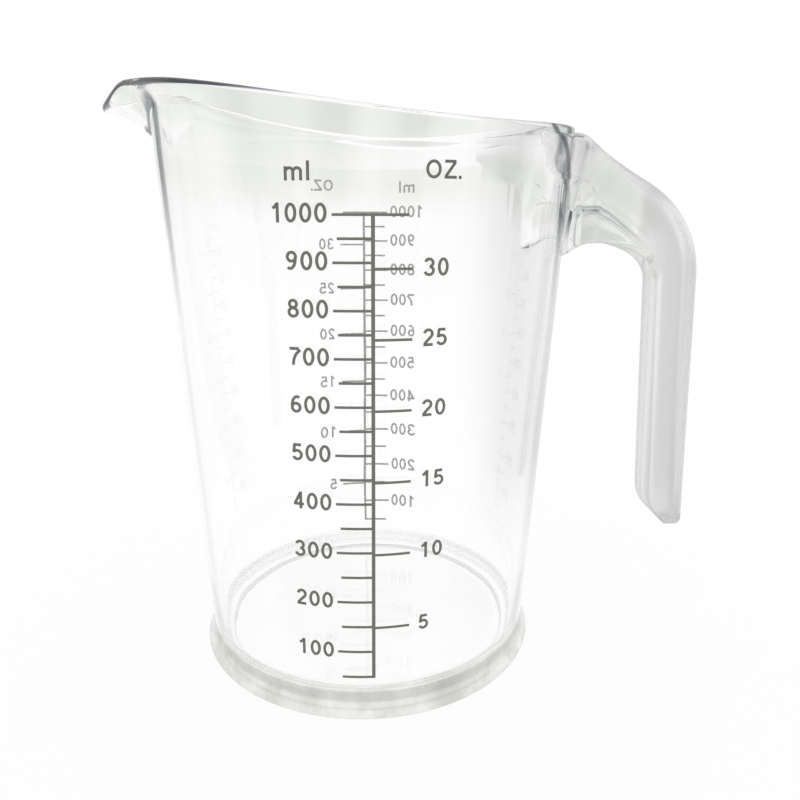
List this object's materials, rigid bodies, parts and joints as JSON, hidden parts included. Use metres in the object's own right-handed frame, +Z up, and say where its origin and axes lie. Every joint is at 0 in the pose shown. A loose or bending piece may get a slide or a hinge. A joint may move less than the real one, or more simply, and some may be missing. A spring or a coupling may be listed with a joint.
{
  "type": "measuring jug",
  "caption": "Clear plastic measuring jug with a raised pouring spout, an open hooked handle, a flared foot and a graduated scale printed front and back.",
  "frame": {"origin": "on the jug's axis, in the plane that the foot rests on", "axes": "+Z up along the jug's axis, +X from the axis to the handle, so the spout is at -X, and the front scale faces -Y"},
  "size_m": [0.1752, 0.1182, 0.1624],
  "materials": {
    "clear_plastic": "clear moulded, polished",
    "frosted_plastic": "clear moulded, etched",
    "print_ink": "screen printed"
  },
  "bodies": {
    "root": {"wall": "clear_plastic", "floor": "clear_plastic", "foot_ring": "frosted_plastic", "rim": "clear_plastic", "spout": "clear_plastic", "handle_arm": "clear_plastic", "handle_grip": "clear_plastic", "front_line": "print_ink", "front_ml_marks": "print_ink", "front_oz_marks": "print_ink", "back_line": "print_ink", "back_ml_marks": "print_ink", "back_oz_marks": "print_ink"}
  },
  "joints": []
}
